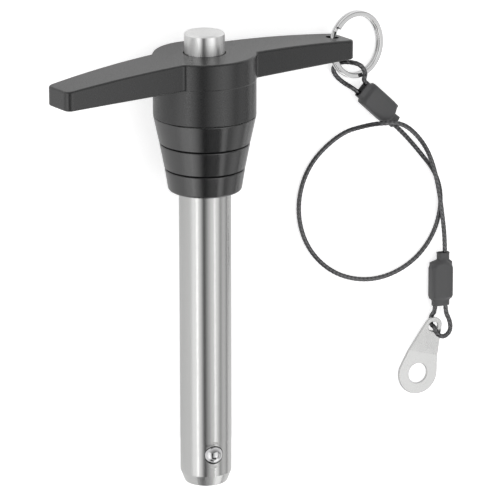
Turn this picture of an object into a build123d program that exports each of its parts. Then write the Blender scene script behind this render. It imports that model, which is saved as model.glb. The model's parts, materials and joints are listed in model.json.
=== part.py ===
"""A T-handle ball lock pin with its wire lanyard, lying on a flat surface.

The pin is modelled about its own axis: Z runs from the tip to the button, Z = 0 is the
collar's bottom face (the shoulder), and +X is the wing that carries the split ring.
The whole pin is then laid down on Z = 0: it rests on the hub's lower rim, on its lower
ball and on the end of the ring's wing. The lanyard is modelled on that surface, about
the point under the split ring's centre.
"""

from build123d import *
from math import asin, atan2, cos, degrees, hypot, pi, radians, sin, sqrt, tan
import os

os.makedirs("parts", exist_ok=True)

# ---- fits ----
SLIDE_GAP = 0.1  # a sliding rod in its bore, on the radius
SEAT_GAP = 0.05  # a turned spigot or flange in its seat, on the radius
WIRE_GAP = 0.05  # the cable in a ferrule's hole, on the radius

# ---- shank ----
SHANK_R = 8.0
SHANK_LENGTH = 94.3  # shoulder to tip
TIP_TAPER = 3.5  # height of the taper at the tip
TIP_R = 6.65
TIP_ROUND = 0.5
BORE_R = 3.6
TIP_FLOOR = 3.0
UNDERCUT_R = 7.7  # runout groove just inside the collar
UNDERCUT_WIDTH = 1.2
FLANGE_R = 10.4
FLANGE_BOTTOM = 17.5
SPRING_SEAT_Z = 5.0
SPRING_BORE_R = 5.2

# ---- locking balls ----
BALL_R = 3.0
BALL_Z = -83.7
BALL_OUT = 6.6  # ball centre from the axis when locked
BALL_TURN = -107.0  # direction of the first ball, degrees from +X
BALL_HOLE_GAP = 0.05
LIP_START = 6.9  # where the staked lip begins to narrow, from the axis
LIP_R = 2.76  # lip radius at the shank's surface
GRIP_END_Z = -80.1  # end of the full-diameter grip
BALL_LAND_DROP = 0.05  # relief at the balls, so staked metal stays under size
BALL_LAND_RUN = 0.8
STAKE_R = 3.9  # staking marks, from the ball's axis
STAKE_TOOL_R = 0.35
STAKE_DEPTH = 0.18
STAKE_SPAN = 34.0  # degrees of arc

# ---- button and spindle ----
TRAVEL = 4.0
BALL_RATIO = 0.4  # a ball moves in by this share of the button's travel
SPINDLE_R = BORE_R - SLIDE_GAP
SPINDLE_END_Z = BALL_Z - BALL_R
SPINDLE_NECK_R = 1.9
SPINDLE_WAIST_R = 2.6
GUIDE_LENGTH = 12.0
UPPER_GUIDE_Z = -3.0
STUD_R = 2.5
STUD_LENGTH = 8.0
BUTTON_R = 6.15
BUTTON_PROUD = 6.3
BUTTON_CHAMFER = 0.45
BUTTON_FLANGE_R = 7.5
BUTTON_FLANGE_THICK = 2.0
BUTTON_HOLE_R = 6.5

# ---- handle ----
HUB_R = 15.8  # at the wings
HUB_SKIRT_R = 15.68  # turned a little smaller below the wings
HUB_BOTTOM = 23.5
HUB_TOP = 42.8
LEDGE_Z = 36.8  # underside of the lip that holds the button in
CAVITY_R = 8.0
SOCKET_R = 12.5
WING_REACH = 53.3
WING_TOP_END = 39.7
WING_BOTTOM_END = 33.7
WING_BOTTOM_HUB = 34.4
WING_ROOT_HALF = 8.5
WING_MID_HALF = 7.25
WING_END_HALF = 5.6
WING_CORNER = 2.2
WING_NECK_FILLET = 1.6
EDGE_ROUND = 0.6
RING_HOLE_X = 48.6
RING_HOLE_R = 2.1

# ---- collar, from the shoulder up ----
COLLAR_FOOT_R = 11.2
COLLAR_FOOT_ROUND = 1.0
LOW_TIER_TOP = 6.9
LOW_TIER_R = 12.3
MIDDLE_TIER_TOP = 14.9
MIDDLE_TIER_R = 13.85
COLLAR_TIERS = [(LOW_TIER_TOP, LOW_TIER_R), (MIDDLE_TIER_TOP, MIDDLE_TIER_R), (HUB_BOTTOM, HUB_SKIRT_R)]
COLLAR_STEP = 0.1  # how far each tier's foot stands out from the lip below it
COLLAR_GROOVE = 0.5  # depth and height of the groove between two tiers
COLLAR_LIP = 0.35
SPIGOT_LENGTH = 7.0

# ---- spring ----
SPRING_WIRE_R = 0.4
SPRING_MEAN_R = 4.35
SPRING_TURNS = 9

# ---- split ring ----
RING_MEAN_R = 9.7
RING_WIRE_WIDE = 1.7
RING_WIRE_THICK = 1.05
RING_PITCH = 1.13
RING_JOG = 50.0  # degrees over which the wire climbs one turn
RING_END_GAP = 8.0  # degrees left open between a free end and the climb
RING_SLIP = 0.4  # how far the ring has slid along its hole, toward the tip

# ---- lanyard, about the point under the ring's centre, Z from the surface ----
CABLE_R = 0.7
PASS_OFFSET = 1.5  # each pass of cable from its sleeve's axis
FERRULE_LENGTH = 11.0
FERRULE_WIDE = 6.0
FERRULE_THICK = 3.3
SLEEVE_WIDE = 7.5
SLEEVE_THICK = 4.6
SLEEVE_MOUTH_WIDE = 5.3
SLEEVE_MOUTH_THICK = 2.9
SLEEVE_MOUTH_LONG = 2.0
SLEEVE_SHOULDER = 1.3
UPPER_SLEEVE = ((1.7, -14.2, 3.9), (14.2, -25.8, 2.45))  # eye end, far end
LOWER_SLEEVE = ((29.1, -88.1, 2.45), (29.5, -70.8, 2.45))
DEAD_END = 13.7  # how far the cut ends of the cable reach into their sleeves

# ---- end tab ----
TAB_BIG_AT = (21.5, -110.2)
TAB_SMALL_AT = (26.3, -94.65)
TAB_THICK = 0.9
TAB_BIG_R = 6.8
TAB_SMALL_R = 2.95
TAB_BIG_HOLE_R = 3.25
TAB_SMALL_HOLE_R = 1.65
TAB_BEND_AT = 6.9  # from the big hole's centre
TAB_BEND = 11.5  # degrees

# The cable's free route between its two ferrules: the eye round the ring, the loop on the
# surface and over the upper sleeve, and the eye through the tab.
RING_EYE = [
    (2.3, -9.5, 5.9),
    (0.9, -6.5, 6.1),
    (-1.9, -5.2, 5.2),
    (-5.3, -5.2, 2.7),
    (-7.2, -7.1, 1.5),
    (-6.0, -9.9, 1.3),
    (-3.2, -12.5, 2.1),
]
LOOP = [
    (20.9, -34.7, 0.9),
    (30.9, -47.5, 0.8),
    (29.8, -62.1, 0.8),
    (21.2, -73.1, 0.8),
    (7.5, -77.8, 0.8),
    (-6.6, -74.5, 0.8),
    (-16.9, -64.4, 0.8),
    (-20.3, -50.7, 0.8),
    (-16.1, -37.3, 0.8),
    (-5.1, -28.1, 1.6),
    (3.2, -26.0, 4.2),
    (7.8, -25.3, 6.9),
    (14.0, -26.0, 6.9),
    (20.1, -30.6, 5.0),
    (25.3, -37.7, 3.6),
    (28.3, -47.6, 3.2),
    (30.0, -59.5, 3.1),
]
TAB_EYE = [
    (32.1, -93.5, 3.2),
    (32.0, -96.8, 3.8),
    (29.3, -98.6, 4.1),
    (26.8, -97.1, 4.1),
    (26.3, -94.75, 3.8),
    (26.3, -94.55, 0.8),
    (26.5, -91.7, 0.8),
]


# ---- values that follow from the sizes above ----
SHANK_TOP = LEDGE_Z - BUTTON_FLANGE_THICK - TRAVEL
SOCKET_TOP = SHANK_TOP
BUTTON_TOP = HUB_TOP + BUTTON_PROUD
BUTTON_FOOT = LEDGE_Z - BUTTON_FLANGE_THICK
BORE_FLOOR = -SHANK_LENGTH + TIP_FLOOR
CROWN_R = (WING_REACH**2 + (HUB_TOP - WING_TOP_END) ** 2) / (2 * (HUB_TOP - WING_TOP_END))


def turned(outline):
    """A solid of revolution about Z from an outline of (radius, height) points."""
    return revolve(make_face(Plane.XZ * Polyline(*outline, close=True)), Axis.Z)


def disc(radius, low, high):
    """A plain cylinder about Z between two heights."""
    return Pos(0, 0, low) * Cylinder(radius, high - low, align=(Align.CENTER, Align.CENTER, Align.MIN))


# ================= the pin, about its own axis =================


def ball_axis(turn):
    """A place whose Z points out along a ball's line, and whose origin is on the pin's axis."""
    outward = (cos(radians(turn)), sin(radians(turn)), 0)
    return Plane(origin=(0, 0, BALL_Z), x_dir=(0, 0, 1), z_dir=outward)


def ball_hole(turn):
    """The cutter for one ball hole: straight inside, narrowing to the staked lip."""
    hole_r = BALL_R + BALL_HOLE_GAP
    reach = SHANK_R + 1
    slope = (hole_r - LIP_R) / (SHANK_R - LIP_START)
    mouth_r = hole_r - slope * (reach - LIP_START)
    outline = [(0, 0), (hole_r, 0), (hole_r, LIP_START), (mouth_r, reach), (0, reach)]
    return ball_axis(turn) * turned(outline)


def stake_marks(turn):
    """Cutters for the two crescents that the staking punch leaves above and below a ball."""
    ring = Torus(STAKE_R, STAKE_TOOL_R)
    reach = 2 * STAKE_R
    half_wide = reach * tan(radians(STAKE_SPAN / 2))
    wedge = make_face(Polyline((0, 0), (reach, half_wide), (reach, -half_wide), close=True))
    sector = extrude(wedge, amount=STAKE_TOOL_R, both=True)
    crescent = ring & sector
    height = SHANK_R + STAKE_TOOL_R - STAKE_DEPTH
    place = ball_axis(turn)
    above = place * (Pos(0, 0, height) * crescent)
    below = place * (Pos(0, 0, height) * (Rot(0, 0, 180) * crescent))
    return [above, below]


def make_shank():
    """The ground shank: tapered tip, two staked ball holes, bore for the spindle, flange."""
    land_r = SHANK_R - BALL_LAND_DROP
    outline = [
        (0, -SHANK_LENGTH),
        (TIP_R, -SHANK_LENGTH),
        (land_r, -SHANK_LENGTH + TIP_TAPER),
        (land_r, GRIP_END_Z - BALL_LAND_RUN),
        (SHANK_R, GRIP_END_Z),
        (SHANK_R, 0),
        (UNDERCUT_R, 0),
        (UNDERCUT_R, UNDERCUT_WIDTH),
        (SHANK_R, UNDERCUT_WIDTH),
        (SHANK_R, FLANGE_BOTTOM),
        (FLANGE_R, FLANGE_BOTTOM),
        (FLANGE_R, SHANK_TOP),
        (0, SHANK_TOP),
    ]
    body = turned(outline)
    tip_edge = body.edges().group_by(Axis.Z)[0]
    body = fillet(tip_edge, TIP_ROUND)
    body -= disc(BORE_R, BORE_FLOOR, SHANK_TOP)
    body -= disc(SPRING_BORE_R, SPRING_SEAT_Z, SHANK_TOP)
    for turn in (BALL_TURN, BALL_TURN + 180):
        body -= ball_hole(turn)
        for mark in stake_marks(turn):
            body -= mark
    return body


def make_collar():
    """The stepped collar: three flared tiers, a spigot up into the handle, and a counterbore."""
    foot = COLLAR_FOOT_R
    points = [(SHANK_R + SEAT_GAP, 0), (foot, 0)]
    low = 0
    for number, (top, lip_r) in enumerate(COLLAR_TIERS):
        last = number == len(COLLAR_TIERS) - 1
        points.append((lip_r, top))
        if not last:
            points.append((lip_r - COLLAR_GROOVE, top))
            points.append((lip_r + COLLAR_STEP, top + COLLAR_GROOVE))
        low = top
    points += [
        (SOCKET_R, low),
        (SOCKET_R, low + SPIGOT_LENGTH),
        (FLANGE_R + SEAT_GAP, low + SPIGOT_LENGTH),
        (FLANGE_R + SEAT_GAP, FLANGE_BOTTOM),
        (SHANK_R + SEAT_GAP, FLANGE_BOTTOM),
    ]
    body = turned(points)
    outer_foot = [e for e in body.edges().filter_by(GeomType.CIRCLE) if abs(e.radius - foot) < 1e-6]
    body = fillet(outer_foot, COLLAR_FOOT_ROUND)
    lip_radii = [r for _, r in COLLAR_TIERS]
    lips = [
        e
        for e in body.edges().filter_by(GeomType.CIRCLE)
        if min(abs(e.radius - r) for r in lip_radii) < 1e-6
    ]
    return fillet(lips, COLLAR_LIP)


def handle_plan():
    """The handle seen along the pin: the hub's circle with two wings that swell toward it."""
    root_x = sqrt(HUB_R**2 - WING_ROOT_HALF**2)
    middle = ((root_x + WING_REACH) / 2, WING_MID_HALF)
    wings = []
    for way in (1, -1):
        root, end = (way * root_x, WING_ROOT_HALF), (way * WING_REACH, WING_END_HALF)
        outline = [
            ThreePointArc(root, (way * middle[0], middle[1]), end),
            Line(end, (end[0], -end[1])),
            ThreePointArc((end[0], -end[1]), (way * middle[0], -middle[1]), (root[0], -root[1])),
            Line((root[0], -root[1]), (0, 0)),
            Line((0, 0), root),
        ]
        wings.append(make_face(outline))
    plan = Circle(HUB_R) + wings
    ends = [v for v in plan.vertices() if abs(abs(v.X) - WING_REACH) < 0.01]
    plan = fillet(ends, WING_CORNER)
    necks = [v for v in plan.vertices() if abs(abs(v.Y) - WING_ROOT_HALF) < 0.01]
    return fillet(necks, WING_NECK_FILLET)


def crowned_side():
    """The wings' side profile in X and Z: a crowned top over a slightly arched bottom."""
    reach = WING_REACH + 1
    arch = (WING_BOTTOM_HUB - WING_BOTTOM_END) * WING_REACH**2 / (WING_REACH**2 - HUB_R**2)
    left, right = (-reach, crown_height(reach)), (reach, crown_height(reach))
    low_left, low_right = (-reach, WING_BOTTOM_END), (reach, WING_BOTTOM_END)
    outline = [
        ThreePointArc(left, (0, HUB_TOP), right),
        Line(right, low_right),
        ThreePointArc(low_right, (0, WING_BOTTOM_END + arch), low_left),
        Line(low_left, left),
    ]
    return extrude(Plane.XZ * make_face(outline), amount=2 * HUB_R, both=True)


def make_handle():
    """The T handle: a hub with two wings, bored for the button, the collar and the ring."""
    wings = extrude(handle_plan(), amount=HUB_TOP + 1) & crowned_side()
    top = wings.faces().sort_by(Axis.Z)[-1]
    wings = fillet(top.edges(), EDGE_ROUND)
    bottom = wings.faces().sort_by(Axis.Z)[0]
    wings = fillet(bottom.edges(), EDGE_ROUND)
    hub = disc(HUB_SKIRT_R, HUB_BOTTOM, LEDGE_Z)
    hub = fillet(hub.edges().group_by(Axis.Z)[0], COLLAR_LIP)
    body = wings + hub
    body -= disc(SOCKET_R + SEAT_GAP, HUB_BOTTOM, SOCKET_TOP)
    body -= disc(CAVITY_R, SOCKET_TOP, LEDGE_Z)
    body -= disc(BUTTON_HOLE_R, LEDGE_Z, HUB_TOP + 1)
    body -= Pos(RING_HOLE_X, 0, 0) * disc(RING_HOLE_R, WING_BOTTOM_END - 1, HUB_TOP + 1)
    return body


def crown_height(x):
    """Height of the handle's crowned top at a distance along the wing."""
    return HUB_TOP - (CROWN_R - sqrt(CROWN_R**2 - x**2))


def make_button():
    """The push button: a turned cap with a flange that the handle's lip holds in."""
    body = disc(BUTTON_R, BUTTON_FOOT, BUTTON_TOP)
    body = chamfer(body.edges().group_by(Axis.Z)[-1], BUTTON_CHAMFER)
    body += disc(BUTTON_FLANGE_R, BUTTON_FOOT, LEDGE_Z - SEAT_GAP)
    body -= disc(STUD_R, BUTTON_FOOT, BUTTON_FOOT + STUD_LENGTH + 0.5)
    return body


def make_spindle():
    """The spindle: a land that holds the balls out, a ramp and a neck that let them in."""
    slant = hypot(1, BALL_RATIO)
    touch_z = BALL_Z - BALL_R * BALL_RATIO / slant
    touch_r = BALL_OUT - BALL_R / slant - SLIDE_GAP * slant
    ramp_start = touch_z + (touch_r - SPINDLE_R) / BALL_RATIO
    ramp_end = touch_z + (touch_r - SPINDLE_NECK_R) / BALL_RATIO
    neck_end = BALL_Z + TRAVEL + BALL_R - 1.0
    guide_start = neck_end + (SPINDLE_R - SPINDLE_NECK_R)
    waist_start = guide_start + GUIDE_LENGTH
    step = SPINDLE_R - SPINDLE_WAIST_R
    outline = [
        (0, SPINDLE_END_Z),
        (SPINDLE_R - 0.3, SPINDLE_END_Z),
        (SPINDLE_R, SPINDLE_END_Z + 0.3),
        (SPINDLE_R, ramp_start),
        (SPINDLE_NECK_R, ramp_end),
        (SPINDLE_NECK_R, neck_end),
        (SPINDLE_R, guide_start),
        (SPINDLE_R, waist_start),
        (SPINDLE_WAIST_R, waist_start + step),
        (SPINDLE_WAIST_R, UPPER_GUIDE_Z - step),
        (SPINDLE_R, UPPER_GUIDE_Z),
        (SPINDLE_R, BUTTON_FOOT),
        (STUD_R, BUTTON_FOOT),
        (STUD_R, BUTTON_FOOT + STUD_LENGTH),
        (0, BUTTON_FOOT + STUD_LENGTH),
    ]
    return turned(outline)


def make_spring():
    """The return spring, from its seat in the shank to the button's flange."""
    low = SPRING_SEAT_Z + SPRING_WIRE_R
    high = BUTTON_FOOT - SPRING_WIRE_R
    pitch = (high - low) / SPRING_TURNS
    path = Helix(pitch, high - low, SPRING_MEAN_R)
    section = Plane(origin=path @ 0, z_dir=path % 0) * Circle(SPRING_WIRE_R)
    return Pos(0, 0, low) * sweep(section, path=path, is_frenet=True)


def make_ball(turn):
    """One locking ball in its hole, held out by the spindle."""
    return ball_axis(turn) * (Pos(0, 0, BALL_OUT) * Sphere(BALL_R))


def make_split_ring():
    """A two-turn split ring about Z: two flat coils with one climb between them."""
    wire = Rectangle(RING_WIRE_WIDE, RING_WIRE_THICK)
    wire = fillet(wire.vertices(), RING_WIRE_THICK * 0.4)
    turn = 360 - RING_JOG - RING_END_GAP
    half = RING_JOG / 2
    low = Plane.XZ * (Pos(RING_MEAN_R, -RING_PITCH / 2) * wire)
    high = Plane.XZ * (Pos(RING_MEAN_R, RING_PITCH / 2) * wire)
    lower = Rot(0, 0, -half - turn) * revolve(low, Axis.Z, turn)
    upper = Rot(0, 0, half) * revolve(high, Axis.Z, turn)
    path = Helix(RING_PITCH * 360 / RING_JOG, RING_PITCH, RING_MEAN_R)
    section = Plane.XZ * (Pos(RING_MEAN_R, 0) * wire)
    climb = sweep(section, path=path, is_frenet=True)
    climb = Pos(0, 0, -RING_PITCH / 2) * (Rot(0, 0, -half) * climb)
    return lower + climb + upper


# ================= laying the pin down =================


def resting_turn():
    """How the pin lies: its tilt, its roll, and its axis's height at the shoulder."""
    ball_turn = BALL_TURN + 180
    rounds = [e for e in handle_plan().edges().filter_by(GeomType.CIRCLE) if e.radius < WING_CORNER + 0.01]
    corner = max((e.arc_center for e in rounds), key=lambda c: c.X + c.Y)
    tilt, roll, height = 0.0, 0.2, 0.0
    for _ in range(20):
        ball_reach = BALL_OUT * cos(radians(ball_turn) - (pi / 2 - roll)) * cos(tilt) + BALL_R
        rim_z = HUB_BOTTOM + COLLAR_LIP
        rim_reach = HUB_SKIRT_R * cos(tilt)
        tilt = asin((rim_reach - ball_reach) / (rim_z - BALL_Z))
        height = rim_reach - rim_z * sin(tilt)
        foot_z = WING_BOTTOM_END + EDGE_ROUND
        reach = (height + foot_z * sin(tilt)) / cos(tilt) - WING_CORNER
        roll = asin(reach / hypot(corner.X, corner.Y)) - atan2(corner.Y, corner.X)
    return tilt, roll, height


def pin_place(tilt, roll, height):
    """The place that takes the pin's own axes to how it lies, with the shoulder over the origin."""
    along_pin_x = (cos(roll), sin(tilt) * sin(roll), -cos(tilt) * sin(roll))
    along_pin_z = (0, cos(tilt), sin(tilt))
    return Plane(origin=(0, 0, height), x_dir=along_pin_x, z_dir=along_pin_z)


def ring_place(pin):
    """The split ring: threaded through its hole, with its far side resting on the surface."""
    hole_z = (WING_BOTTOM_END + crown_height(RING_HOLE_X)) / 2 - RING_SLIP
    hole = (pin * Pos(RING_HOLE_X, 0, hole_z)).position
    half_thick = (RING_PITCH + RING_WIRE_THICK) / 2
    lean = 0.2
    for _ in range(20):
        lean = asin((hole.Z - half_thick * cos(lean)) / (2 * RING_MEAN_R + RING_WIRE_WIDE / 2))
    outward = Vector(cos(lean), 0, -sin(lean))
    normal = Vector(sin(lean), 0, cos(lean))
    return Plane(origin=hole + outward * RING_MEAN_R, x_dir=outward, z_dir=normal)


# ================= the lanyard, on the surface =================


def sleeve_plane(sleeve):
    """A sleeve's own axes: X from the eye end to the far end, Y across, Z up."""
    start, end = Vector(*sleeve[0]), Vector(*sleeve[1])
    heading = (end - start).normalized()
    across = Vector(-heading.Y, heading.X, 0).normalized()
    return Plane(origin=start, x_dir=heading, z_dir=heading.cross(across))


def sleeve_length(sleeve):
    """A sleeve's length from end to end."""
    return (Vector(*sleeve[1]) - Vector(*sleeve[0])).length


def sleeve_point(sleeve, along, side):
    """A point on one of the two cable passes through a sleeve, or beyond its ends."""
    return (sleeve_plane(sleeve) * Pos(along, side * PASS_OFFSET, 0)).position


def cable_route():
    """All the points of the cable, from its cut end in one sleeve to that in the other."""
    upper_long, lower_long = sleeve_length(UPPER_SLEEVE), sleeve_length(LOWER_SLEEVE)
    points = [sleeve_point(UPPER_SLEEVE, DEAD_END, 1), sleeve_point(UPPER_SLEEVE, -1.3, 1)]
    points += [Vector(*p) for p in RING_EYE]
    points += [sleeve_point(UPPER_SLEEVE, -1.5, -1), sleeve_point(UPPER_SLEEVE, upper_long + 2.5, -1)]
    points += [Vector(*p) for p in LOOP]
    points += [sleeve_point(LOWER_SLEEVE, lower_long + 2.5, -1), sleeve_point(LOWER_SLEEVE, -2.0, -1)]
    points += [Vector(*p) for p in TAB_EYE]
    points += [sleeve_point(LOWER_SLEEVE, -1.6, 1), sleeve_point(LOWER_SLEEVE, DEAD_END, 1)]
    return points


def corner_radii(points):
    """The radius at each corner: an arc over 0.45 of the shorter run beside it."""
    radii = []
    for before, corner, after in zip(points, points[1:], points[2:]):
        turn = radians((corner - before).get_angle(after - corner))
        shorter = min((corner - before).length, (after - corner).length)
        radii.append(0.45 * shorter / tan(turn / 2))
    return radii


def make_cable():
    """The coated cable: one round tube along straight runs joined by tangent arcs."""
    points = cable_route()
    radii = corner_radii(points)
    path = FilletPolyline(*points, radius=radii)
    section = Plane(origin=path @ 0, z_dir=path % 0) * Circle(CABLE_R)
    tube = sweep(section, path=path)
    print("cable length", round(path.length, 1), "smallest radii", [round(r, 1) for r in sorted(radii)[:8]])
    print("tube volume over section times length", round(tube.volume / (pi * CABLE_R**2 * path.length), 4))
    return tube


def oval(wide, thick):
    """A round-ended section across a sleeve's axis."""
    return Plane.YZ * SlotOverall(wide, thick)


def passes(length):
    """The two cable holes along a sleeve's axis."""
    hole = Plane.YZ * Circle(CABLE_R + WIRE_GAP)
    holes = [Pos(0, side * PASS_OFFSET, 0) * extrude(hole, amount=length) for side in (1, -1)]
    return holes[0] + holes[1]


def make_ferrule(sleeve):
    """The crimped ferrule inside a shrink sleeve, round both passes of cable."""
    start = (sleeve_length(sleeve) - FERRULE_LENGTH) / 2
    body = extrude(oval(FERRULE_WIDE, FERRULE_THICK), amount=FERRULE_LENGTH)
    body -= passes(FERRULE_LENGTH)
    return sleeve_plane(sleeve) * (Pos(start, 0, 0) * body)


def make_shrink_sleeve(sleeve):
    """The shrink sleeve: a round-ended tube over the ferrule, drawn in at both mouths."""
    length = sleeve_length(sleeve)
    mouth = (SLEEVE_MOUTH_WIDE, SLEEVE_MOUTH_THICK)
    full = (SLEEVE_WIDE, SLEEVE_THICK)
    shoulder = SLEEVE_MOUTH_LONG + SLEEVE_SHOULDER
    near = loft([oval(*mouth), Pos(SLEEVE_MOUTH_LONG, 0, 0) * oval(*mouth)])
    near_cone = loft([Pos(SLEEVE_MOUTH_LONG, 0, 0) * oval(*mouth), Pos(shoulder, 0, 0) * oval(*full)])
    middle = Pos(shoulder, 0, 0) * extrude(oval(*full), amount=length / 2 - shoulder)
    half = near + near_cone + middle
    body = half + mirror(half, Plane.YZ.offset(length / 2))
    pocket_long = FERRULE_LENGTH + 2 * SEAT_GAP
    pocket = extrude(oval(FERRULE_WIDE + 2 * SEAT_GAP, FERRULE_THICK + 2 * SEAT_GAP), amount=pocket_long)
    body -= Pos((length - pocket_long) / 2, 0, 0) * pocket
    body -= passes(length)
    return sleeve_plane(sleeve) * body


def make_tab():
    """The fixing tab: a teardrop plate with a big and a small hole, bent across its middle."""
    run = Vector(TAB_SMALL_AT[0] - TAB_BIG_AT[0], TAB_SMALL_AT[1] - TAB_BIG_AT[1])
    rise_angle = radians(TAB_BEND)
    beyond = run.length - TAB_BEND_AT
    far = beyond + TAB_SMALL_R + 1
    ends = make_hull(
        Circle(TAB_BIG_R).edges() + (Pos(run.length, 0) * Circle(TAB_SMALL_R)).edges()
    )
    lift = tan(rise_angle)
    fold = TAB_THICK * tan(rise_angle / 2)
    side = Polyline(
        (-TAB_BIG_R - 1, 0),
        (TAB_BEND_AT + fold / 2, 0),
        (TAB_BEND_AT + fold / 2 + far, far * lift),
        (TAB_BEND_AT + fold / 2 + far, far * lift + TAB_THICK / cos(rise_angle)),
        (TAB_BEND_AT - fold / 2, TAB_THICK),
        (-TAB_BIG_R - 1, TAB_THICK),
        close=True,
    )
    plate = extrude(Plane.XZ * make_face(side), amount=TAB_BIG_R + 1, both=True)
    plate &= extrude(ends, amount=far + TAB_THICK)
    plate -= disc(TAB_BIG_HOLE_R, -1, TAB_THICK + 1)
    bored = Pos(run.length, 0, (beyond - fold / 2) * lift) * (
        Rot(0, -TAB_BEND, 0) * disc(TAB_SMALL_HOLE_R, -2, TAB_THICK + 2)
    )
    plate -= bored
    return Pos(TAB_BIG_AT[0], TAB_BIG_AT[1], 0) * (Rot(0, 0, degrees(atan2(run.Y, run.X))) * plate)


# ================= the whole part =================


def build():
    """Every piece by its node's name, with the origin under the middle of pin and ring."""
    tilt, roll, height = resting_turn()
    pin = pin_place(tilt, roll, height)
    ring = ring_place(pin)
    pieces = {
        "t_handle": pin * make_handle(),
        "shoulder_collar": pin * make_collar(),
        "shank": pin * make_shank(),
        "release_button": pin * make_button(),
        "spindle": pin * make_spindle(),
        "return_spring": pin * make_spring(),
        "ball_1": pin * make_ball(BALL_TURN),
        "ball_2": pin * make_ball(BALL_TURN + 180),
        "split_ring": ring * (Rot(0, 0, 173) * make_split_ring()),
    }
    under_ring = Pos(ring.origin.X, ring.origin.Y, 0)
    box = Compound(children=[Compound(p.wrapped) for p in pieces.values()]).bounding_box()
    lanyard = {
        "lanyard_cable": make_cable(),
        "upper_ferrule": make_ferrule(UPPER_SLEEVE),
        "upper_shrink_sleeve": make_shrink_sleeve(UPPER_SLEEVE),
        "lower_ferrule": make_ferrule(LOWER_SLEEVE),
        "lower_shrink_sleeve": make_shrink_sleeve(LOWER_SLEEVE),
        "end_tab": make_tab(),
    }
    pieces |= {name: under_ring * piece for name, piece in lanyard.items()}
    centre = box.center()
    place = Pos(-centre.X, -centre.Y, 0)
    print("tilt", degrees(tilt), "roll", degrees(roll), "shoulder", (place * pin.location).position)
    print("lowest", box.min.Z, "ring centre", (place * ring.location).position)
    return {name: place * piece for name, piece in pieces.items()}


for name, piece in build().items():
    export_step(piece, f"parts/{name}.step")
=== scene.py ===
"""A T-handle ball lock pin with its wire lanyard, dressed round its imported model.

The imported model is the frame: every piece is in metres in its axes, and rides on one of its bodies.
"""

import json
from math import atan2, copysign, cos, pi, radians, sin

import bmesh
import bpy
from mathutils import Matrix, Vector

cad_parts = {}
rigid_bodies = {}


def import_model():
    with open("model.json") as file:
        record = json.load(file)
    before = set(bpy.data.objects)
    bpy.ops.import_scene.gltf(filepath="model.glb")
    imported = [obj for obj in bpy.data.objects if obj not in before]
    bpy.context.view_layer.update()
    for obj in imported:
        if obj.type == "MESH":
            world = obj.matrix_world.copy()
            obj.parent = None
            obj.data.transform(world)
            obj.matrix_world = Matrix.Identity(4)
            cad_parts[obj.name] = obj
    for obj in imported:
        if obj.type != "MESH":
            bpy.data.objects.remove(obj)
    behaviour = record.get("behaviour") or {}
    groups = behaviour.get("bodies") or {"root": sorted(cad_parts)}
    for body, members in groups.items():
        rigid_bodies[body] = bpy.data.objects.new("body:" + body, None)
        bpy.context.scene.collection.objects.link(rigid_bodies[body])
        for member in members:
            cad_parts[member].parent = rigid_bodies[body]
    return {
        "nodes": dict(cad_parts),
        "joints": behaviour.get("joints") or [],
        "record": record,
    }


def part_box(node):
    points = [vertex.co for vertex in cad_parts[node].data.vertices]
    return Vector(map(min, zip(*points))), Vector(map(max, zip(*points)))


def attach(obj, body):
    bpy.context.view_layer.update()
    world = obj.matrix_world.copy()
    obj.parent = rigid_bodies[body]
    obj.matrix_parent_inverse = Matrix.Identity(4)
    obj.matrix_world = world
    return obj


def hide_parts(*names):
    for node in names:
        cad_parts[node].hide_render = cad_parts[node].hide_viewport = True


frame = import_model()
NODES = frame["nodes"]
JOINTS = {joint["name"]: joint for joint in frame["joints"]}
MOUNTS = {mount["name"]: mount for mount in frame["record"]["mounts"]}
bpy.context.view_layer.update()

bl_info = {
    "name": "Ball Lock Pin",
    "version": (1, 0, 0),
    "blender": (4, 5, 0),
    "location": "3D View > Sidebar > Lock Pin",
    "description": "Dresses a T-handle ball lock pin and its wire lanyard",
    "category": "Object",
}

MM = 0.001

# ---- the pin's own axes: Z toward the button, X along the wing that carries the ring ----
PIN_Z = -Vector(JOINTS["button_press"]["axis"]).normalized()
SHOULDER = Vector(MOUNTS["shank_grip"]["pos_m"])
RING_HOLE = Vector(JOINTS["ring_swing"]["pos_m"])
ALONG_WING = RING_HOLE - SHOULDER
PIN_X = (ALONG_WING - PIN_Z * ALONG_WING.dot(PIN_Z)).normalized()
PIN_Y = PIN_Z.cross(PIN_X)
PIN_TURN = Matrix((PIN_X, PIN_Y, PIN_Z)).transposed().to_euler()

# ---- the lanyard, in millimetres about the point under the split ring's centre ----
TAB_BIG_AT = Vector((21.5, -110.2, 0.0))  # the tab's large hole
UNDER_RING = Vector(MOUNTS["tab_hole"]["pos_m"]) / MM - TAB_BIG_AT
UNDER_RING.z = 0
PASS_OFFSET = 1.5  # each pass of cable from its sleeve's axis
DEAD_END = 13.7  # how far the cut ends reach into their sleeves
UPPER_SLEEVE = ((1.7, -14.2, 3.9), (14.2, -25.8, 2.45))  # eye end, far end
LOWER_SLEEVE = ((29.1, -88.1, 2.45), (29.5, -70.8, 2.45))
RING_EYE_RUNS = (1.3, 1.5)  # straight runs out of the sleeve, at the eye's start and end
TAB_EYE_RUNS = (2.0, 1.6)
LOOP_RUN = 2.5
RING_EYE = [
    (2.3, -9.5, 5.9),
    (0.9, -6.5, 6.1),
    (-1.9, -5.2, 5.2),
    (-5.3, -5.2, 2.7),
    (-7.2, -7.1, 1.5),
    (-6.0, -9.9, 1.3),
    (-3.2, -12.5, 2.1),
]
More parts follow.
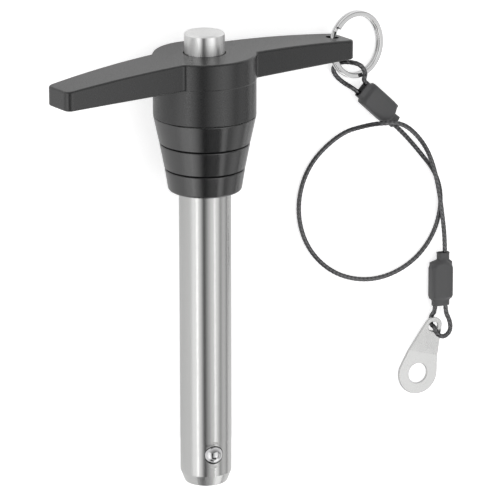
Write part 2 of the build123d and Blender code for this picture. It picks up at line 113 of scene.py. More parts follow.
LOOP = [
    (20.9, -34.7, 0.9),
    (30.9, -47.5, 0.8),
    (29.8, -62.1, 0.8),
    (21.2, -73.1, 0.8),
    (7.5, -77.8, 0.8),
    (-6.6, -74.5, 0.8),
    (-16.9, -64.4, 0.8),
    (-20.3, -50.7, 0.8),
    (-16.1, -37.3, 0.8),
    (-5.1, -28.1, 1.6),
    (3.2, -26.0, 4.2),
    (7.8, -25.3, 6.9),
    (14.0, -26.0, 6.9),
    (20.1, -30.6, 5.0),
    (25.3, -37.7, 3.6),
    (28.3, -47.6, 3.2),
    (30.0, -59.5, 3.1),
]
TAB_EYE = [
    (32.1, -93.5, 3.2),
    (32.0, -96.8, 3.8),
    (29.3, -98.6, 4.1),
    (26.8, -97.1, 4.1),
    (26.3, -94.75, 3.8),
    (26.3, -94.55, 0.8),
    (26.5, -91.7, 0.8),
]
ROUTE_STEPS = 20  # pieces of curve for each point of the route
STRANDS = 6
OUTLINE_STEPS = 3  # the same for the cable's outline
OUTLINE_GROWTH = 1.11  # the smooth outline cuts inside its points

# ---- the shrink sleeves' skins, in millimetres ----
SKIN = 0.35  # the tube's wall
SKIN_SIDES = 56
SKIN_LENGTHS = 44  # short lengths that the tube is cut into
MOUTH_DEPTH = 1.5  # how far in the wall is seen at a mouth
EYE_MOUTH_HALF = (2.95, 1.4)  # half the width and the thickness
BODY_HALF = (3.75, 2.3)  # the same over the ferrule
FAR_MOUTH_HALF = (2.0, 1.3)
FAR_MOUTH_ASIDE = -0.75  # toward the pass of cable that leaves there
FAR_FLARE = (0.7, 0.12)  # how long the far mouth's flare is, and how much it widens
EYE_WIDENS = (1.7, 2.3)  # from the eye mouth, where a change starts and ends
EYE_THICKENS = (1.6, 2.9)
FAR_NARROWS = (3.2, 2.3)  # from the far mouth
FAR_THINS = (3.1, 1.8)
EYE_BOW = 0.5  # how much nearer the middle a slope is at the sides
FAR_BOW = 2.4
MOUTH_CORNER = 0.62  # powers that shape the outline, squarer when smaller
BODY_CORNER = 0.4

# ---- other details ----
SHADE_RIM_REACH = 2.9 * MM  # the painted shade at the rim of a ball hole, from the ball's line
SHADE_RIM_FADE = 0.12 * MM  # and it fades out over this
# the colour of the painted shade in the gap round each ball
SHADE_RIM_COLOUR = (0.015, 0.015, 0.015, 1)
TAB_EDGE_ROUND = 0.16 * MM
TAB_FLAT = 5 * MM**2  # faces over this stay flat
WELD = 0.002 * MM  # points nearer than this are one
FLAT_WITHIN = radians(1)
SHARP_OVER = radians(40)

# ---- the studio ----
AIM = Vector((6.17, -14.71, -16.97)) * MM  # from the shoulder, in the pin's axes
LOW_AIM = 20 * MM  # how far toward the tip the left lamps aim
LAMP_AWAY = 0.8  # from what a lamp lights
COLLAR_FLAG_AWAY = 0.7
SENSOR = 36
FLOOR_RADIUS = 4
FLOOR_DROP = 0.02 * MM  # keeps the floor clear of what lies on it
FLOOR_GLOW = {"Is Camera Ray": 0.64, "Is Glossy Ray": 0.35, "Is Transmission Ray": 0.35}


# ================= settings =================


class LOCKPIN_PG_sizes(bpy.types.PropertyGroup):
    """Sizes of the pieces that are made here."""

    cable: bpy.props.FloatProperty(
        name="Cable diameter", description="Over the coating", default=1.4 * MM, unit="LENGTH"
    )
    cable_length: bpy.props.FloatProperty(
        name="Cable length", description="From cut end to cut end", default=0.326, unit="LENGTH"
    )
    strand_relief: bpy.props.FloatProperty(
        name="Strand relief",
        description="How deep the lay shows",
        default=0.045 * MM,
        unit="LENGTH",
    )
    strand_lay: bpy.props.FloatProperty(
        name="Strand lay",
        description="Cable length for one turn of a strand",
        default=9 * MM,
        unit="LENGTH",
    )


class LOCKPIN_PG_colours(bpy.types.PropertyGroup):
    """Colours of the finishes."""

    handle: bpy.props.FloatVectorProperty(
        name="Handle",
        description="Black satin finish",
        default=(0.007, 0.0071, 0.0075),
        subtype="COLOR",
    )
    collar: bpy.props.FloatVectorProperty(
        name="Collar",
        description="Black satin finish",
        default=(0.004, 0.0041, 0.0044),
        subtype="COLOR",
    )
    steel: bpy.props.FloatVectorProperty(
        name="Ground steel",
        description="Shank and spindle",
        default=(0.47, 0.47, 0.465),
        subtype="COLOR",
    )
    button: bpy.props.FloatVectorProperty(
        name="Turned steel",
        description="Release button",
        default=(0.8, 0.8, 0.795),
        subtype="COLOR",
    )
    polished: bpy.props.FloatVectorProperty(
        name="Polished steel",
        description="Locking balls",
        default=(0.55, 0.55, 0.555),
        subtype="COLOR",
    )
    wire: bpy.props.FloatVectorProperty(
        name="Bright wire", description="Split ring", default=(0.7, 0.7, 0.7), subtype="COLOR"
    )
    tab: bpy.props.FloatVectorProperty(
        name="Bright sheet", description="End tab", default=(0.55, 0.55, 0.545), subtype="COLOR"
    )
    coating: bpy.props.FloatVectorProperty(
        name="Cable coating",
        description="Black nylon",
        default=(0.12, 0.12, 0.123),
        subtype="COLOR",
    )
    shrink: bpy.props.FloatVectorProperty(
        name="Shrink tube",
        description="Dark grey tube",
        default=(0.075, 0.075, 0.077),
        subtype="COLOR",
    )
    ferrule: bpy.props.FloatVectorProperty(
        name="Ferrule", description="Crimped aluminium", default=(0.7, 0.7, 0.7), subtype="COLOR"
    )


class LOCKPIN_PG_studio(bpy.types.PropertyGroup):
    """The camera, the lamps and the floor."""

    turn: bpy.props.FloatProperty(
        name="Turn",
        description="Camera round the pin's axis",
        default=radians(-36.38),
        subtype="ANGLE",
    )
    lift: bpy.props.FloatProperty(
        name="Lift",
        description="Camera above square to the pin",
        default=radians(17.42),
        subtype="ANGLE",
    )
    distance: bpy.props.FloatProperty(
        name="Distance", description="Camera from its target", default=1.1155, unit="LENGTH"
    )
    view_width: bpy.props.FloatProperty(
        name="View width", description="Seen at the target", default=0.1518, unit="LENGTH"
    )
    floor: bpy.props.FloatVectorProperty(
        name="Floor", description="Floor and backdrop", default=(0.8, 0.8, 0.8), subtype="COLOR"
    )
    horizon: bpy.props.FloatProperty(
        name="Horizon", description="Room light at the horizon", default=1.0
    )
    zenith: bpy.props.FloatProperty(name="Zenith", description="Room light overhead", default=0.3)


def sizes():
    """The sizes in use."""
    return bpy.context.scene.lock_pin_sizes


def colours():
    """The colours in use."""
    return bpy.context.scene.lock_pin_colours


def studio():
    """The studio settings in use."""
    return bpy.context.scene.lock_pin_studio


# ================= material tools =================


def new_finish(name, colour, metallic, roughness, **sockets):
    """A material, its node tree and its Principled shader, with these values on its sockets."""
    material = bpy.data.materials.new(name)
    material.use_nodes = True
    tree = material.node_tree
    shader = tree.nodes["Principled BSDF"]
    shader.inputs["Base Color"].default_value = (*colour, 1)
    shader.inputs["Metallic"].default_value = metallic
    shader.inputs["Roughness"].default_value = roughness
    for socket, value in sockets.items():
        shader.inputs[socket.replace("_", " ")].default_value = value
    material.diffuse_color = (*colour, 1)
    return material, tree, shader


def row_coordinates(tree):
    """Object coordinates."""
    return tree.nodes.new("ShaderNodeTexCoord").outputs["Object"]


def coordinates_at(tree, place, turn):
    """Coordinates in axes of their own, set at a place and turned."""
    own = tree.nodes.new("ShaderNodeMapping")
    own.vector_type = "TEXTURE"
    own.inputs["Location"].default_value = place
    own.inputs["Rotation"].default_value = turn
    tree.links.new(row_coordinates(tree), own.inputs["Vector"])
    return own.outputs["Vector"]


def pin_coordinates(tree):
    """Coordinates in the pin's own axes."""
    return coordinates_at(tree, SHOULDER, PIN_TURN)


def stretched(tree, vector, scale):
    """A vector times a scale for each axis."""
    stretch = tree.nodes.new("ShaderNodeMapping")
    stretch.inputs["Scale"].default_value = scale
    tree.links.new(vector, stretch.inputs["Vector"])
    return stretch.outputs["Vector"]


def from_axis(tree, vector):
    """How far a vector's point is from the Z axis."""
    flat = tree.nodes.new("ShaderNodeVectorMath")
    flat.operation = "MULTIPLY"
    flat.inputs[1].default_value = (1, 1, 0)
    tree.links.new(vector, flat.inputs[0])
    radius = tree.nodes.new("ShaderNodeVectorMath")
    radius.operation = "LENGTH"
    tree.links.new(flat.outputs["Vector"], radius.inputs[0])
    return radius.outputs["Value"]


def maths(tree, operation, *values):
    """A number worked out from other numbers."""
    node = tree.nodes.new("ShaderNodeMath")
    node.operation = operation
    for value, socket in zip(values, node.inputs):
        tree.links.new(value, socket)
    return node.outputs[0]


def noise(tree, vector, scale, detail, roughness=0.5):
    """A noise value over a vector."""
    node = tree.nodes.new("ShaderNodeTexNoise")
    node.inputs["Scale"].default_value = scale
    node.inputs["Detail"].default_value = detail
    node.inputs["Roughness"].default_value = roughness
    tree.links.new(vector, node.inputs["Vector"])
    return node.outputs["Fac"]


def spread(tree, value, low, high, start=0.3, end=0.7, interpolation="LINEAR"):
    """A value taken from start..end to low..high; noise mostly keeps to 0.3..0.7."""
    node = tree.nodes.new("ShaderNodeMapRange")
    node.interpolation_type = interpolation
    for socket, number in (
        ("From Min", start),
        ("From Max", end),
        ("To Min", low),
        ("To Max", high),
    ):
        node.inputs[socket].default_value = number
    tree.links.new(value, node.inputs["Value"])
    return node.outputs["Result"]


def mottle(tree, value, colour, amount):
    """A colour that is lighter and darker by an amount as a value changes."""
    node = tree.nodes.new("ShaderNodeMix")
    node.data_type = "RGBA"
    low = [part * (1 - amount) for part in colour]
    high = [min(1, part * (1 + amount)) for part in colour]
    node.inputs["A"].default_value = (*low, 1)
    node.inputs["B"].default_value = (*high, 1)
    tree.links.new(value, node.inputs["Factor"])
    return node.outputs["Result"]


def bump(tree, shader, value, height, under=None):
    """Bump from a value, in metres of height, on top of another bump."""
    node = tree.nodes.new("ShaderNodeBump")
    node.inputs["Strength"].default_value = 1
    node.inputs["Distance"].default_value = height
    tree.links.new(value, node.inputs["Height"])
    if under is not None:
        tree.links.new(under, node.inputs["Normal"])
    tree.links.new(node.outputs["Normal"], shader.inputs["Normal"])
    return node.outputs["Normal"]


def round_the_pin(tree, shader):
    """Stretches a metal's highlights along the pin, as grinding marks that run round it do."""
    node = tree.nodes.new("ShaderNodeTangent")
    node.direction_type = "RADIAL"
    node.axis = "Y"
    tree.links.new(node.outputs["Tangent"], shader.inputs["Tangent"])
    shader.inputs["Anisotropic Rotation"].default_value = 0.25  # a quarter turn


def painted_shade_at_balls(tree, colour):
    """A colour that turns dark at the rims of the ball holes: painted shade in the gap round each
    ball.
    """
    line = Vector(JOINTS["ball_1_slide"]["axis"]).normalized()
    low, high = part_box("ball_1")
    middle = (Vector(low) + Vector(high)) / 2
    own = coordinates_at(tree, middle, line.to_track_quat("Z", "Y").to_euler())
    shade = spread(tree, from_axis(tree, own), 1, 0, SHADE_RIM_REACH, SHADE_RIM_REACH + SHADE_RIM_FADE)
    node = tree.nodes.new("ShaderNodeMix")
    node.data_type = "RGBA"
    tree.links.new(shade, node.inputs["Factor"])
    tree.links.new(colour, node.inputs["A"])
    node.inputs["B"].default_value = SHADE_RIM_COLOUR
    return node.outputs["Result"]


def put_on(material, *pieces):
    """Gives pieces this one material."""
    for piece in pieces:
        piece.data.materials.clear()
        piece.data.materials.append(material)


# ================= finishes =================


def black_satin(name, colour, roughness, index):
    """Black satin coat on metal, with a fine grain: the material and its grain's bump."""
    material, tree, shader = new_finish(name, colour, 0, roughness, IOR=index)
    own = pin_coordinates(tree)
    cloud = noise(tree, own, scale=60, detail=3)
    tree.links.new(mottle(tree, cloud, colour, amount=0.12), shader.inputs["Base Color"])
    grain = noise(tree, own, scale=3200, detail=2)
    rough = spread(tree, grain, roughness - 0.04, roughness + 0.04)
    tree.links.new(rough, shader.inputs["Roughness"])
    return material, bump(tree, shader, grain, height=0.006 * MM)


def turned_satin(name, colour, roughness, index):
    """Black satin coat on a turned piece, whose turning marks show through it."""
    material, grain = black_satin(name, colour, roughness, index)
    tree = material.node_tree
    round_it = stretched(tree, pin_coordinates(tree), scale=(30, 30, 5200))
    marks = noise(tree, round_it, scale=1, detail=1)
    bump(tree, tree.nodes["Principled BSDF"], marks, height=0.004 * MM, under=grain)
    return material


def ground_steel(name, colour, roughness):
    """Steel ground round its axis: fine lines that run round it, a little uneven."""
    material, tree, shader = new_finish(name, colour, 1, roughness, Anisotropic=0.6)
    round_the_pin(tree, shader)
    round_it = stretched(tree, pin_coordinates(tree), scale=(45, 45, 7000))
    lines = noise(tree, round_it, scale=1, detail=3, roughness=0.6)
    rough = spread(tree, lines, roughness - 0.015, roughness + 0.02)
    tree.links.new(rough, shader.inputs["Roughness"])
    ground = mottle(tree, lines, colour, amount=0.02)
    # painted shade: the base colour goes dark at the rims of the ball holes, in the gap round each
    # ball
    tree.links.new(painted_shade_at_balls(tree, ground), shader.inputs["Base Color"])
    bump(tree, shader, lines, height=0.00008 * MM)
    return material


def turned_face(name, colour, roughness):
    """Turned steel: rings round the axis on its flat top, fine lines round its side."""
    material, tree, shader = new_finish(name, colour, 1, roughness, Anisotropic=0.75)
    round_the_pin(tree, shader)
    own = pin_coordinates(tree)
    parts = tree.nodes.new("ShaderNodeSeparateXYZ")
    tree.links.new(own, parts.inputs["Vector"])
    line = tree.nodes.new("ShaderNodeCombineXYZ")
    tree.links.new(from_axis(tree, own), line.inputs["X"])
    tree.links.new(parts.outputs["Z"], line.inputs["Y"])
    marks = noise(tree, line.outputs["Vector"], scale=5200, detail=2)
    rough = spread(tree, marks, roughness - 0.04, roughness + 0.06)
    tree.links.new(rough, shader.inputs["Roughness"])
    tree.links.new(mottle(tree, marks, colour, amount=0.05), shader.inputs["Base Color"])
    bump(tree, shader, marks, height=0.0006 * MM)
    return material


def bright_metal(name, colour, roughness, grain, height):
    """Bright metal with a fine even grain and faint cloudy patches."""
    material, tree, shader = new_finish(name, colour, 1, roughness)
    own = row_coordinates(tree)
    cloud = noise(tree, own, scale=180, detail=3)
    tree.links.new(mottle(tree, cloud, colour, amount=0.05), shader.inputs["Base Color"])
    rough = spread(tree, cloud, roughness * 0.8, roughness * 1.25)
    tree.links.new(rough, shader.inputs["Roughness"])
    bump(tree, shader, noise(tree, own, grain, detail=2), height)
    return material


def nylon_coat(name, colour):
    """Glossy black nylon, thin enough that the wire rope gleams through it."""
    material, tree, shader = new_finish(
        name, colour, metallic=0.9, roughness=0.09, IOR=1.5, Specular_Tint=(0, 0, 0, 1)
    )
    own = row_coordinates(tree)
    cloud = noise(tree, own, scale=260, detail=3)
    tree.links.new(mottle(tree, cloud, colour, amount=0.25), shader.inputs["Base Color"])
    tree.links.new(spread(tree, cloud, 0.07, 0.12), shader.inputs["Roughness"])
    bump(tree, shader, noise(tree, own, scale=1500, detail=2), height=0.001 * MM)
    return material


def shrink_tube(name, colour):
    """Dark heat-shrink tube: satin, with a fine pebbled skin and soft puckers."""
    material, tree, shader = new_finish(name, colour, metallic=0, roughness=0.48, IOR=1.5)
    own = row_coordinates(tree)
    puckers = noise(tree, own, scale=220, detail=3)
    tree.links.new(mottle(tree, puckers, colour, amount=0.15), shader.inputs["Base Color"])
    tree.links.new(spread(tree, puckers, 0.42, 0.55), shader.inputs["Roughness"])
    under = bump(tree, shader, puckers, height=0.05 * MM)
    pebbles = noise(tree, own, scale=2600, detail=2)
    bump(tree, shader, pebbles, height=0.01 * MM, under=under)
    return material


# ================= shapes =================


def new_object(name, data):
    """An object that holds this data, in the scene."""
    piece = bpy.data.objects.new(name, data)
    bpy.context.scene.collection.objects.link(piece)
    return piece


def mesh_from(shape, name):
    """A mesh from a bmesh, which is freed."""
    mesh = bpy.data.meshes.new(name)
    shape.to_mesh(mesh)
    shape.free()
    return mesh


def mesh_of(piece):
    """The mesh that an object shows."""
    bpy.context.view_layer.update()
    graph = bpy.context.evaluated_depsgraph_get()
    return bpy.data.meshes.new_from_object(piece.evaluated_get(graph), depsgraph=graph)


def new_piece(name, mesh, material, body, flat_over=1.0):
    """A finished piece from a mesh, with its place in its vertices and its large faces flat."""
    piece = new_object(name, mesh)
    put_on(material, piece)
    for face in mesh.polygons:
        face.use_smooth = face.area < flat_over
    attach(piece, body)
    return piece


def sleeve_axes(sleeve):
    """A sleeve's axes in the row frame, in millimetres (X to its far end, Z up), and its length."""
    start, end = (Vector(point) + UNDER_RING for point in sleeve)
    heading = (end - start).normalized()
    across = Vector((-heading.y, heading.x, 0)).normalized()
    turn = Matrix((heading, across, heading.cross(across))).transposed().to_4x4()
    return Matrix.Translation(start) @ turn, (end - start).length


def sleeve_point(sleeve, along, side):
    """A point on one of the two cable passes of a sleeve, or beyond its ends."""
    axes, _ = sleeve_axes(sleeve)
    return axes @ Vector((along, side * PASS_OFFSET, 0))


def cable_points():
    """The points of the cable's route in metres, from its cut end in one sleeve to the other."""
    _, upper_long = sleeve_axes(UPPER_SLEEVE)
    _, lower_long = sleeve_axes(LOWER_SLEEVE)
    upper_eye, lower_eye = RING_EYE_RUNS, TAB_EYE_RUNS
    points = [
        sleeve_point(UPPER_SLEEVE, DEAD_END, 1),
        sleeve_point(UPPER_SLEEVE, -upper_eye[0], 1),
        *(Vector(point) + UNDER_RING for point in RING_EYE),
        sleeve_point(UPPER_SLEEVE, -upper_eye[1], -1),
        sleeve_point(UPPER_SLEEVE, upper_long + LOOP_RUN, -1),
        *(Vector(point) + UNDER_RING for point in LOOP),
        sleeve_point(LOWER_SLEEVE, lower_long + LOOP_RUN, -1),
        sleeve_point(LOWER_SLEEVE, -lower_eye[0], -1),
        *(Vector(point) + UNDER_RING for point in TAB_EYE),
        sleeve_point(LOWER_SLEEVE, -lower_eye[1], 1),
        sleeve_point(LOWER_SLEEVE, DEAD_END, 1),
    ]
    return [point * MM for point in points]


def route_curve(name, points, lay):
    """A smooth open curve with these control points, turned evenly along its length."""
    data = bpy.data.curves.new(name, "CURVE")
    data.dimensions = "3D"
    data.resolution_u = ROUTE_STEPS
    spline = data.splines.new("NURBS")
    spline.points.add(len(points) - 1)
    along = 0.0
    for number, (point, place) in enumerate(zip(spline.points, points)):
        if number:
            along += (place - points[number - 1]).length
        point.co = (*place, 1)
        point.tilt = 2 * pi * along / lay
    spline.order_u = 3
    spline.use_endpoint_u = True
    return new_object(name, data)


def strand_outline(name, radius, relief):
    """The cable's outline: a round with one soft lobe for each outer strand."""
    data = bpy.data.curves.new(name, "CURVE")
    data.dimensions = "2D"
    data.resolution_u = OUTLINE_STEPS
    spline = data.splines.new("NURBS")
    spline.points.add(2 * STRANDS - 1)
    for number, point in enumerate(spline.points):
        angle = pi * number / STRANDS
        reach = radius if number % 2 == 0 else radius - 2 * relief
        reach *= OUTLINE_GROWTH
        point.co = (reach * cos(angle), reach * sin(angle), 0, 1)
    spline.order_u = 3
    spline.use_cyclic_u = True
    return new_object(name, data)


def ease(value, start, end):
    """0 before start, 1 after end, and a smooth rise between them."""
    part = min(1.0, max(0.0, (value - start) / (end - start)))
    return part * part * (3 - 2 * part)


def blended(first, second, part):
    """A value from first to second."""
    return first + (second - first) * part


def skin_point(along, angle, length, inset):
    """A point of a sleeve's skin in its own axes, an inset in from its outside.

    The skin is flat-topped over the ferrule, and pinched round the cable at both mouths.
    """
    swell = ease(along, *EYE_WIDENS)
    pinch = ease(along, *(length - back for back in FAR_NARROWS))
    flare_long, flare_high = FAR_FLARE
    far_wide = FAR_MOUTH_HALF[0] + flare_high * ease(along, length - flare_long, length)
    wide = blended(blended(EYE_MOUTH_HALF[0], BODY_HALF[0], swell), far_wide, pinch)

    corner = blended(MOUTH_CORNER, BODY_CORNER, swell * (1 - pinch))
    reach_y = copysign(abs(cos(angle)) ** corner, cos(angle))
    reach_z = copysign(abs(sin(angle)) ** corner, sin(angle))

    rise = ease(along, *(start + EYE_BOW * reach_y**2 for start in EYE_THICKENS))
    fall = ease(along, *(length - back - FAR_BOW * reach_y**2 for back in FAR_THINS))
    thick = blended(blended(EYE_MOUTH_HALF[1], BODY_HALF[1], rise), FAR_MOUTH_HALF[1], fall)

    aside = FAR_MOUTH_ASIDE * pinch
    return Vector((along, aside + (wide - inset) * reach_y, (thick - inset) * reach_z))


def sleeve_skin(name, sleeve):
    """A shrink sleeve: a tube in short lengths, shaped over its ferrule, its walls turned in."""
    axes, length = sleeve_axes(sleeve)
    shape = bmesh.new()
    bmesh.ops.create_cone(
        shape, cap_ends=False, segments=SKIN_SIDES, radius1=1, radius2=1, depth=length
    )
    for step in range(1, SKIN_LENGTHS):
        everything = shape.verts[:] + shape.edges[:] + shape.faces[:]
        cut = (0, 0, length * (step / SKIN_LENGTHS - 0.5))
        bmesh.ops.bisect_plane(shape, geom=everything, plane_co=cut, plane_no=(0, 0, 1))
    for mouth, inward in ((-length / 2, 1), (length / 2, -1)):
        ends = (edge for edge in shape.edges if edge.is_boundary)
        rim = [edge for edge in ends if abs(edge.verts[0].co.z - mouth) < SKIN]
        for depth in (0, MOUTH_DEPTH):
            made = bmesh.ops.extrude_edge_only(shape, edges=rim)["geom"]
            for vert in (part for part in made if isinstance(part, bmesh.types.BMVert)):
                vert.co.z = mouth + inward * depth
                vert.co.xy = vert.co.xy.normalized() * (1 - SKIN)
            rim = [part for part in made if isinstance(part, bmesh.types.BMEdge)]
        bmesh.ops.edgeloop_fill(shape, edges=rim)
    for vert in shape.verts:
        angle = atan2(vert.co.y, vert.co.x)
        inset = SKIN if vert.co.xy.length < 1 - SKIN / 2 else 0
        vert.co = axes @ skin_point(vert.co.z + length / 2, angle, length, inset) * MM
    bmesh.ops.recalc_face_normals(shape, faces=shape.faces[:])
    return mesh_from(shape, name)


def softened_copy(name, node, radius):
    """A copy of a node's mesh with its sharp edges rounded."""
    shape = bmesh.new()
    shape.from_mesh(NODES[node].data)
    bmesh.ops.remove_doubles(shape, verts=shape.verts[:], dist=WELD)
    bmesh.ops.dissolve_limit(
        shape, angle_limit=FLAT_WITHIN, verts=shape.verts[:], edges=shape.edges[:]
    )
    joining = (edge for edge in shape.edges if len(edge.link_faces) == 2)
    bmesh.ops.bevel(
        shape,
        geom=[edge for edge in joining if edge.calc_face_angle() > SHARP_OVER],
        offset=radius,
        segments=3,
        profile=0.5,
        affect="EDGES",
        material=-1,
        clamp_overlap=True,
    )
    bmesh.ops.recalc_face_normals(shape, faces=shape.faces[:])
    return mesh_from(shape, name)


# ================= operators =================


class LOCKPIN_OT_handle_and_collar(bpy.types.Operator):
    """Finish the handle and the collar in black satin"""

    bl_idname = "lock_pin.handle_and_collar"
    bl_label = "Handle and Collar"

    def execute(self, context):
        handle_coat, _ = black_satin("black_satin_handle", colours().handle, 0.3, index=1.6)
        put_on(handle_coat, NODES["t_handle"])
        collar_coat = turned_satin("black_satin_collar", colours().collar, 0.22, index=1.78)
        put_on(collar_coat, NODES["shoulder_collar"])
        return {"FINISHED"}


class LOCKPIN_OT_shank(bpy.types.Operator):
    """Finish the shank, the spindle and the return spring in ground steel"""

    bl_idname = "lock_pin.shank"
    bl_label = "Shank, Spindle and Spring"

    def execute(self, context):
        put_on(ground_steel("ground_shank", colours().steel, 0.25), NODES["shank"])
        put_on(ground_steel("ground_spindle", colours().steel, 0.22), NODES["spindle"])
        drawn = bright_metal("spring_wire", colours().steel, 0.3, grain=1800, height=0.003 * MM)
        put_on(drawn, NODES["return_spring"])
        return {"FINISHED"}


class LOCKPIN_OT_button(bpy.types.Operator):
    """Finish the release button in turned steel"""

    bl_idname = "lock_pin.button"
    bl_label = "Release Button"

    def execute(self, context):
        put_on(turned_face("turned_button", colours().button, 0.3), NODES["release_button"])
        return {"FINISHED"}


class LOCKPIN_OT_balls(bpy.types.Operator):
    """Finish the locking balls in polished steel"""

    bl_idname = "lock_pin.balls"
    bl_label = "Locking Balls"

    def execute(self, context):
        colour = colours().polished
        lapped = bright_metal("polished_ball", colour, 0.04, grain=900, height=0.0003 * MM)
        put_on(lapped, NODES["ball_1"], NODES["ball_2"])
        return {"FINISHED"}


class LOCKPIN_OT_split_ring(bpy.types.Operator):
    """Finish the split ring in bright wire"""

    bl_idname = "lock_pin.split_ring"
    bl_label = "Split Ring"

    def execute(self, context):
        wire = bright_metal("bright_wire", colours().wire, 0.07, grain=1400, height=0.0008 * MM)
        put_on(wire, NODES["split_ring"])
        return {"FINISHED"}


class LOCKPIN_OT_sleeves(bpy.types.Operator):
    """Finish the shrink sleeves and the ferrules inside them"""

    bl_idname = "lock_pin.sleeves"
    bl_label = "Shrink Sleeves"

    def execute(self, context):
        tube = shrink_tube("shrink_tube", colours().shrink)
        for end, sleeve in (("upper", UPPER_SLEEVE), ("lower", LOWER_SLEEVE)):
            mesh = sleeve_skin(end + "_tube_skin", sleeve)
            piece = new_piece(end + "_tube_skin", mesh, tube, "lanyard")
            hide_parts(end + "_shrink_sleeve")
        colour = colours().ferrule
        crimped = bright_metal("crimped_ferrule", colour, 0.35, grain=1200, height=0.006 * MM)
        put_on(crimped, NODES["upper_ferrule"], NODES["lower_ferrule"])
        return {"FINISHED"}


class LOCKPIN_OT_tab(bpy.types.Operator):
    """Finish the end tab in bright sheet steel"""

    bl_idname = "lock_pin.tab"
    bl_label = "End Tab"

    def execute(self, context):
        sheet = bright_metal("bright_sheet", colours().tab, 0.24, grain=1500, height=0.004 * MM)
        mesh = softened_copy("tab_plate", "end_tab", TAB_EDGE_ROUND)
        piece = new_piece("tab_plate", mesh, sheet, "tab", flat_over=TAB_FLAT)
        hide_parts("end_tab")
        return {"FINISHED"}


class LOCKPIN_OT_cable(bpy.types.Operator):
    """Make the coated cable along its route"""

    bl_idname = "lock_pin.cable"
    bl_label = "Lanyard Cable"

    def execute(self, context):
        line = route_curve("cable_route", cable_points(), sizes().strand_lay)
        path = [vertex.co.copy() for vertex in mesh_of(line).vertices]
        outline = strand_outline("cable_outline", sizes().cable / 2, sizes().strand_relief)
        line.data.bevel_mode = "OBJECT"
        line.data.bevel_object = outline
        line.data.use_fill_caps = True
        mesh = mesh_of(line)
        mesh.name = "coated_cable"
        for helper in (line, outline):
            bpy.data.objects.remove(helper)
        material = nylon_coat("nylon_coat", colours().coating)
        piece = new_piece("coated_cable", mesh, material, "lanyard")
        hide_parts("lanyard_cable")
        pieces = bpy.data.objects
        goes_with = [NODES["upper_ferrule"], NODES["lower_ferrule"]]
        goes_with += [pieces["upper_tube_skin"], pieces["lower_tube_skin"], pieces["tab_plate"]]
        return {"FINISHED"}


def camera_axes():
    """The camera's right, up and back, with the pin standing upright in its view."""
    turn, lift = studio().turn, studio().lift
    back = PIN_X * sin(turn) * cos(lift) - PIN_Y * cos(turn) * cos(lift) + PIN_Z * sin(lift)
    right = PIN_X * cos(turn) + PIN_Y * sin(turn)
    return right, back.cross(right), back


def softbox(name, target, turn, lift, wide, tall, level, edge, distance=LAMP_AWAY):
    """A glowing card, which with a low level is a dark one, facing its target.

    It is turned round the pin from the camera's side and lifted toward the button, in degrees. Its
    level falls off smoothly over the outer part of its width that edge gives.
    """
    right, _, back = camera_axes()
    front = (back - PIN_Z * back.dot(PIN_Z)).normalized()
    turn, lift = radians(turn), radians(lift)
    away = (front * cos(turn) + right * sin(turn)) * cos(lift) + PIN_Z * sin(lift)
    across = PIN_Z.cross(away).normalized()
    axes = Matrix((across, away.cross(across), away)).transposed().to_4x4()
    shape = bmesh.new()
    bmesh.ops.create_grid(shape, x_segments=1, y_segments=1, size=0.5)
    bmesh.ops.scale(shape, verts=shape.verts, vec=(wide, tall, 1))
    box = new_object(name, mesh_from(shape, name))
    box.matrix_world = Matrix.Translation(target + away * distance) @ axes
    box.visible_camera = False
    box.visible_shadow = False

    material = bpy.data.materials.new(name)
    material.use_nodes = True
    tree = material.node_tree
    tree.nodes.clear()
    out = tree.nodes.new("ShaderNodeOutputMaterial")
    glow = tree.nodes.new("ShaderNodeEmission")
    tree.links.new(glow.outputs["Emission"], out.inputs["Surface"])
    parts = tree.nodes.new("ShaderNodeSeparateXYZ")
    tree.links.new(row_coordinates(tree), parts.inputs["Vector"])
    aside = maths(tree, "ABSOLUTE", parts.outputs["X"])
    rim, inner = wide / 2, wide / 2 * (1 - edge)
    fall = spread(tree, aside, 0, level, rim, inner, interpolation="SMOOTHSTEP")
    tree.links.new(fall, glow.inputs["Strength"])
    put_on(material, box)


def add_camera(target):
    """The camera, square on its target."""
    setup = studio()
    right, up, back = camera_axes()
    data = bpy.data.cameras.new("camera")
    data.type = "PERSP"
    data.sensor_width = SENSOR
    data.lens = SENSOR * setup.distance / setup.view_width
    camera = new_object("camera", data)
    axes = Matrix((right, up, back)).transposed().to_4x4()
    camera.matrix_world = Matrix.Translation(target + back * setup.distance) @ axes
    bpy.context.scene.camera = camera


def add_floor():
    """A pale floor that glows enough to look white, and keeps a soft shadow."""
    shape = bmesh.new()
    bmesh.ops.create_circle(shape, cap_ends=True, segments=96, radius=FLOOR_RADIUS)
    bmesh.ops.translate(shape, verts=shape.verts, vec=(0, 0, -FLOOR_DROP))
    floor = new_object("floor", mesh_from(shape, "floor"))
    colour = studio().floor
    material, tree, shader = new_finish("pale_floor", colour, metallic=0, roughness=0.9)
    shader.inputs["Specular IOR Level"].default_value = 0
    shader.inputs["Emission Color"].default_value = (1, 1, 1, 1)
    path = tree.nodes.new("ShaderNodeLightPath")
    glows = [spread(tree, path.outputs[ray], 0, level, 0, 1) for ray, level in FLOOR_GLOW.items()]
    most = glows[0]
    for glow in glows[1:]:
        most = maths(tree, "MAXIMUM", most, glow)
    tree.links.new(most, shader.inputs["Emission Strength"])
    put_on(material, floor)


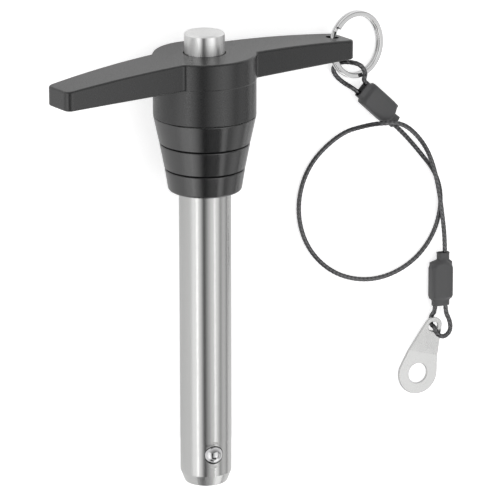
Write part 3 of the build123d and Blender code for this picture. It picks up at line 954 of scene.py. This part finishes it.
def add_room():
    """Room light that fades from the horizon to the zenith, with a white backdrop."""
    world = bpy.data.worlds.new("room")
    world.use_nodes = True
    bpy.context.scene.world = world
    tree = world.node_tree
    background = tree.nodes["Background"]
    background.inputs["Color"].default_value = (1, 1, 1, 1)
    where = tree.nodes.new("ShaderNodeTexCoord")
    height = tree.nodes.new("ShaderNodeSeparateXYZ")
    tree.links.new(where.outputs["Generated"], height.inputs["Vector"])
    horizon, zenith = studio().horizon, studio().zenith
    level = spread(tree, height.outputs["Z"], horizon, zenith, start=0.1, end=0.8)
    path = tree.nodes.new("ShaderNodeLightPath")
    backdrop = tree.nodes.new("ShaderNodeMix")
    backdrop.inputs["B"].default_value = 1
    tree.links.new(path.outputs["Is Camera Ray"], backdrop.inputs["Factor"])
    tree.links.new(level, backdrop.inputs["A"])
    tree.links.new(backdrop.outputs["Result"], background.inputs["Strength"])


def add_lamps(target):
    """The softboxes that give the steel its bands, and the cards at the collar and the tip."""
    low = target - PIN_Z * LOW_AIM
    softbox("left_softbox", low, -44, -10, wide=1.3, tall=1.2, level=1.55, edge=0.8)
    softbox("overhead_softbox", target, 43, -10, wide=1.9, tall=1.2, level=1.45, edge=1)
    softbox("right_softbox", target, 90, -24, wide=1, tall=0.6, level=0.95, edge=1)
    softbox("left_strip", low, -37, -14, wide=0.05, tall=0.5, level=5, edge=0.5)
    softbox("right_strip", target, 43, -14, wide=0.05, tall=0.5, level=4, edge=0.5)
    softbox("tip_flag", target, -44, -76, wide=0.42, tall=0.5, level=0.1, edge=1)
    softbox("tip_softbox", target, 82, -68, wide=0.6, tall=0.6, level=1.75, edge=0.45)
    softbox(
        "collar_flag",
        target,
        20,
        -42,
        wide=0.5,
        tall=0.26,
        level=0.15,
        edge=1,
        distance=COLLAR_FLAG_AWAY,
    )


class LOCKPIN_OT_studio(bpy.types.Operator):
    """Set up the floor, the lamps and the camera"""

    bl_idname = "lock_pin.studio"
    bl_label = "Studio"

    def execute(self, context):
        target = SHOULDER + PIN_X * AIM.x + PIN_Y * AIM.y + PIN_Z * AIM.z
        add_camera(target)
        add_floor()
        add_room()
        add_lamps(target)
        context.scene.view_settings.view_transform = "Standard"
        return {"FINISHED"}


class LOCKPIN_PT_panel(bpy.types.Panel):
    """Lists the pieces of the lock pin"""

    bl_idname = "LOCKPIN_PT_panel"
    bl_label = "Lock Pin"
    bl_space_type = "VIEW_3D"
    bl_region_type = "UI"
    bl_category = "Lock Pin"

    def draw(self, context):
        for step in STEPS:
            self.layout.operator(step.bl_idname)
        for group in (sizes(), colours(), studio()):
            column = self.layout.column()
            for name in group.bl_rna.properties.keys():
                if name not in ("rna_type", "name"):
                    column.prop(group, name)


STEPS = (
    LOCKPIN_OT_handle_and_collar,
    LOCKPIN_OT_shank,
    LOCKPIN_OT_button,
    LOCKPIN_OT_balls,
    LOCKPIN_OT_split_ring,
    LOCKPIN_OT_sleeves,
    LOCKPIN_OT_tab,
    LOCKPIN_OT_cable,
    LOCKPIN_OT_studio,
)
GROUPS = (LOCKPIN_PG_sizes, LOCKPIN_PG_colours, LOCKPIN_PG_studio)
CLASSES = (*GROUPS, *STEPS, LOCKPIN_PT_panel)


def register():
    """Registers the classes and hangs the settings on the scene."""
    for each in CLASSES:
        bpy.utils.register_class(each)
    bpy.types.Scene.lock_pin_sizes = bpy.props.PointerProperty(type=LOCKPIN_PG_sizes)
    bpy.types.Scene.lock_pin_colours = bpy.props.PointerProperty(type=LOCKPIN_PG_colours)
    bpy.types.Scene.lock_pin_studio = bpy.props.PointerProperty(type=LOCKPIN_PG_studio)


def unregister():
    """Takes the settings and the classes away."""
    del bpy.types.Scene.lock_pin_studio
    del bpy.types.Scene.lock_pin_colours
    del bpy.types.Scene.lock_pin_sizes
    for each in reversed(CLASSES):
        bpy.utils.unregister_class(each)


def main():
    """Registers the add-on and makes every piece."""
    register()
    for step in STEPS:
        group, name = step.bl_idname.split(".")
        if getattr(getattr(bpy.ops, group), name)() != {"FINISHED"}:
            raise RuntimeError(step.bl_label + " was not finished")


if __name__ == "__main__":
    main()
